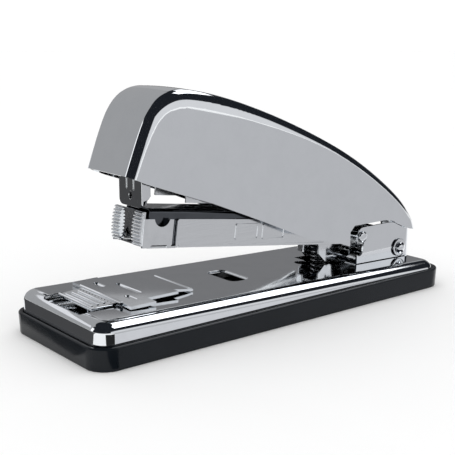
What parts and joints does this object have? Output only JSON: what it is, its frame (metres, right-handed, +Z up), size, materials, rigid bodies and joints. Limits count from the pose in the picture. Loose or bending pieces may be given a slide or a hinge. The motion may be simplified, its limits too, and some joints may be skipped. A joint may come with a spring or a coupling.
{
  "type": "desk stapler",
  "caption": "Full-strip desk stapler: arched chromed handle over a tilting magazine with a serrated pull-out clip, wedge-topped chromed base with sliding anvil on a black tray.",
  "frame": {"origin": "centre of the underside of the black tray, on the surface it stands on", "axes": "+X to the hinge end, -X to the staple exit, +Y across to the far side, +Z up"},
  "size_m": [0.17, 0.0604, 0.0875],
  "materials": {
    "chrome": "polished chrome plate",
    "nickel_steel": "nickel plated sheet steel, satin",
    "spring_steel": "oiled spring steel",
    "black_enamel": "moulded black, semi gloss"
  },
  "bodies": {
    "base": {"base_tray": "black_enamel", "base_cover": "chrome", "cover_post_front_near": "nickel_steel", "cover_post_front_far": "nickel_steel", "cover_post_rear_near": "nickel_steel", "cover_post_rear_far": "nickel_steel", "tray_screw_front_near": "nickel_steel", "tray_screw_front_far": "nickel_steel", "tray_screw_rear_near": "nickel_steel", "tray_screw_rear_far": "nickel_steel", "rear_bracket": "chrome", "bracket_rivet_front_near": "nickel_steel", "bracket_rivet_rear_near": "nickel_steel", "bracket_rivet_front_far": "nickel_steel", "bracket_rivet_rear_far": "nickel_steel", "pivot_rivet": "chrome", "pivot_washer_near": "chrome", "pivot_washer_far": "chrome", "pivot_spacer_near": "nickel_steel", "pivot_spacer_far": "nickel_steel", "spring_seat": "nickel_steel", "magazine_spring": "spring_steel", "anvil_detent_spring": "spring_steel"},
    "anvil": {"anvil_plate": "chrome", "anvil_keeper": "nickel_steel"},
    "magazine": {"magazine_channel": "chrome", "magazine_top": "nickel_steel", "nose_shield": "chrome", "stop_pin": "chrome", "spring_stirrup": "chrome", "guide_post": "chrome", "handle_spring": "spring_steel"},
    "rail": {"loading_rail": "nickel_steel", "rail_front_block": "nickel_steel", "rail_rear_block": "nickel_steel", "pusher_rod": "nickel_steel", "front_clip": "chrome", "pusher_spring": "spring_steel"},
    "pusher": {"staple_pusher": "nickel_steel"},
    "handle": {"handle_shell": "chrome", "handle_frame": "nickel_steel", "shell_tie_rod": "nickel_steel", "driver_blade": "spring_steel", "blade_holder": "nickel_steel"}
  },
  "joints": [
    {"name": "magazine_tilt", "type": "hinge", "parent": "base", "child": "magazine", "pos_m": [0.0726, 0, 0.0154], "axis": [0, -1, 0], "range_deg": [0, 7], "stiffness_Nm_per_rad": 0.5, "springref_deg": -25.78, "deforming": ["magazine_spring"]},
    {"name": "handle_press", "type": "hinge", "parent": "magazine", "child": "handle", "pos_m": [0.0726, 0, 0.0154], "axis": [0, -1, 0], "range_deg": [0, 6.5], "stiffness_Nm_per_rad": 0.5, "springref_deg": -20.05, "deforming": ["handle_spring"]},
    {"name": "rail_pull", "type": "slide", "parent": "magazine", "child": "rail", "axis": [0.9912, 0, -0.1323], "range_m": [-0.085, 0]},
    {"name": "pusher_slide", "type": "slide", "parent": "rail", "child": "pusher", "axis": [0.9912, 0, -0.1323], "range_m": [0, 0.066], "stiffness_N_per_m": 15, "springref_m": -0.04, "deforming": ["pusher_spring"]},
    {"name": "anvil_shift", "type": "slide", "parent": "base", "child": "anvil", "axis": [1, 0, 0], "range_m": [0, 0.0057]}
  ]
}
